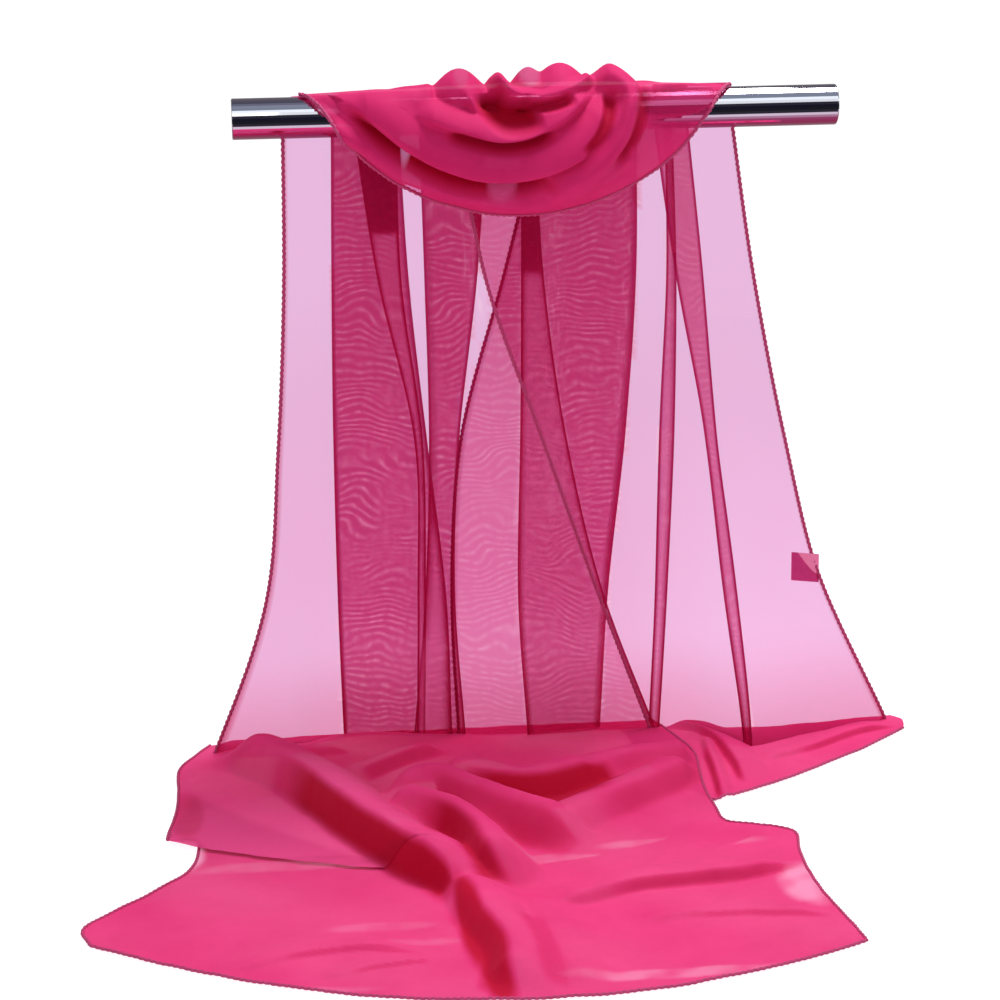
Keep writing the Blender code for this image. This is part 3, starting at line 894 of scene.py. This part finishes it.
def build_stage():
    world = bpy.data.worlds.new("studio")
    bpy.context.scene.world = world
    world.use_nodes = True
    tree = world.node_tree
    tree.nodes.clear()
    out = tree.nodes.new("ShaderNodeOutputWorld")
    seen = node(tree, "ShaderNodeBackground", Color=(1, 1, 1, 1), Strength=1.05)
    lit = node(tree, "ShaderNodeBackground", Color=(1, 1, 1, 1), Strength=0.42)
    shine = node(tree, "ShaderNodeBackground", Strength=1.0)
    where = tree.nodes.new("ShaderNodeTexCoord")
    parts = tree.nodes.new("ShaderNodeSeparateXYZ")
    tree.links.new(where.outputs["Generated"], parts.inputs[0])
    ramp = tree.nodes.new("ShaderNodeValToRGB")
    ramp.color_ramp.interpolation = "LINEAR"
    forward = math_node(tree, "MULTIPLY", parts.outputs["Y"], -1.0)
    turn = math_node(tree, "ARCTAN2", parts.outputs["Z"], forward)
    turn = math_node(tree, "MULTIPLY_ADD", turn, 0.5 / math.pi, 0.5)
    tree.links.new(turn, ramp.inputs[0])
    stops = ramp.color_ramp.elements
    stops[0].position, stops[0].color = 0.0, (0.4, 0.4, 0.42, 1)
    stops[1].position, stops[1].color = 1.0, (0.4, 0.4, 0.42, 1)
    for place, level in CHROME_BANDS:
        stops.new(place).color = (*level, 1)
    tree.links.new(ramp.outputs[0], shine.inputs["Color"])
    path = tree.nodes.new("ShaderNodeLightPath")
    mixed = mix_shader(tree, path.outputs["Is Glossy Ray"], lit.outputs[0], shine.outputs[0])
    mixed = mix_shader(tree, path.outputs["Is Camera Ray"], mixed, seen.outputs[0])
    tree.links.new(mixed, out.inputs["Surface"])
    key = area_light("key", (0.45, 0.35, 1.5), (0, -0.16, -0.4), (0.8, 0.8), 7.5)
    key.data.spread = math.radians(80)
    area_light("front", (-0.9, -2.2, 1.3), (0, 0, -0.2), (1.6, 1.2), 8)
    floor_mesh = bpy.data.meshes.new("floor")
    corners = [(-4, -4, 0), (4, -4, 0), (4, 1.6, 0), (-4, 1.6, 0)]
    floor_mesh.from_pydata(corners, [], [(0, 1, 2, 3)])
    floor = bpy.data.objects.new("floor", floor_mesh)
    floor.location.z = FLOOR_Z - 0.2 * MM
    floor.visible_glossy = False
    bpy.context.scene.collection.objects.link(floor)
    made, floor_tree, floor_out = new_material("pale_floor")
    speckle = grain(floor_tree, 60.0, (1.0, 1.0, 1.0))
    shade = mix_colour(floor_tree, speckle, (0.30, 0.30, 0.31), (0.33, 0.33, 0.34))
    paint = node(floor_tree, "ShaderNodeBsdfPrincipled", Roughness=0.9)
    floor_tree.links.new(shade, paint.inputs["Base Color"])
    paint.inputs["Specular IOR Level"].default_value = 0.1
    paint.inputs["Emission Color"].default_value = (1, 1, 1, 1)
    paint.inputs["Emission Strength"].default_value = 0.90
    floor_tree.links.new(paint.outputs[0], floor_out.inputs["Surface"])
    floor_mesh.materials.append(made)
    bpy.context.scene.view_settings.view_transform = "Standard"
    bpy.context.scene.cycles.transparent_max_bounces = 24


def build_label(material):
    low, high = (Vector(corner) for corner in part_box("label"))
    rows, columns = 8, 8
    x = np.linspace(low.x + 8 * MM, high.x + 9 * MM, columns)[None, :] + np.zeros((rows, 1))
    z = np.linspace(high.z - 9 * MM, low.z - 8 * MM, rows)[:, None] - (x - low.x) * 0.12
    y = np.full(x.shape, low.y)
    points = np.stack([x, y, z], axis=2)
    uv = np.stack([x - low.x, z - low.z], axis=2)
    obj = grid_mesh("label_cloth", points, uv, {})
    obj.data.materials.append(material)
    return obj


def main():
    build_camera()
    build_stage()
    sheer = hanging_chiffon()
    thick = gathered_chiffon("chiffon_gathered", 0.94, 0.22, (CLOTH["body"], CLOTH["bright"]))
    laid = gathered_chiffon("chiffon_laid", 0.99, 0.10, (CLOTH["laid"], CLOTH["laid bright"]))
    thread = hem_thread()

    left_tail, left_grid = build_tail("left", LEFT_FOLDS, LEFT_FOOT, RIGHT_FOLDS, sheer)
    right_tail, right_grid = build_tail("right", RIGHT_FOLDS, RIGHT_FOOT, LEFT_FOLDS, sheer)
    left_over = build_over_rod("left", left_grid, sheer)
    right_over = build_over_rod("right", right_grid, sheer)
    cowl, cowl_grid = build_cowl(thick)
    left_spread, left_floor = build_spread(
        "left", LEFT_SPREAD_ROWS, LEFT_SPREAD_GRID, SPREAD_RIDGES, laid
    )
    right_spread, right_floor = build_spread(
        "right", RIGHT_SPREAD_ROWS, RIGHT_SPREAD_GRID, RIGHT_RIDGES, laid
    )
    hems = {
        "left_tail_outer_hem": left_grid[:, 0],
        "left_tail_inner_hem": left_grid[:, -1],
        "right_tail_inner_hem": right_grid[:, 0],
        "right_tail_outer_hem": right_grid[:, -1],
        "cowl_outer_hem": cowl_grid[0],
        "left_spread_left_hem": left_floor[:, 0],
        "left_spread_right_hem": left_floor[:, -1],
        "left_spread_end_hem": left_floor[-1],
        "right_spread_end_hem": right_floor[-1],
    }
    threads = {}
    for name, path in hems.items():
        radius = SPREAD_HEM_RADIUS if "spread" in name else HEM_RADIUS
        threads[name] = tube(f"{name}_thread", path, radius)
        threads[name].data.materials.append(thread)
        declare(threads[name], "hem", name)
    floor = bpy.data.objects["floor"]
    cloths = (
        # piece, node, flat width and length in m, held, rests on, hems
        (left_tail, "left_tail", (0.50, 0.47), "hung", "rod",
         ("left_tail_outer_hem", "left_tail_inner_hem")),
        (right_tail, "right_tail", (0.37, 0.47), "hung", "rod",
         ("right_tail_inner_hem", "right_tail_outer_hem")),
        (left_over, "left_over_rod", (0.50, 0.04), "draped", "rod", ()),
        (right_over, "right_over_rod", (0.26, 0.04), "draped", "rod", ()),
        (cowl, "cowl", (0.18, 0.27), "gathered", "rod", ("cowl_outer_hem",)),
        (left_spread, "left_spread", (0.48, 0.46), "laid", floor,
         ("left_spread_left_hem", "left_spread_right_hem", "left_spread_end_hem")),
        (right_spread, "right_spread", (0.20, 0.12), "laid", floor, ("right_spread_end_hem",)),
    )
    for piece, cad_node, flat, held, under, edges in cloths:
        declare(piece, "chiffon", cad_node)
    label = build_label(label_weave())
    declare(label, "label", "label")
    rod = bpy.data.objects["rod"]
    rod.data.materials.clear()
    rod.data.materials.append(polished_chrome())


main()
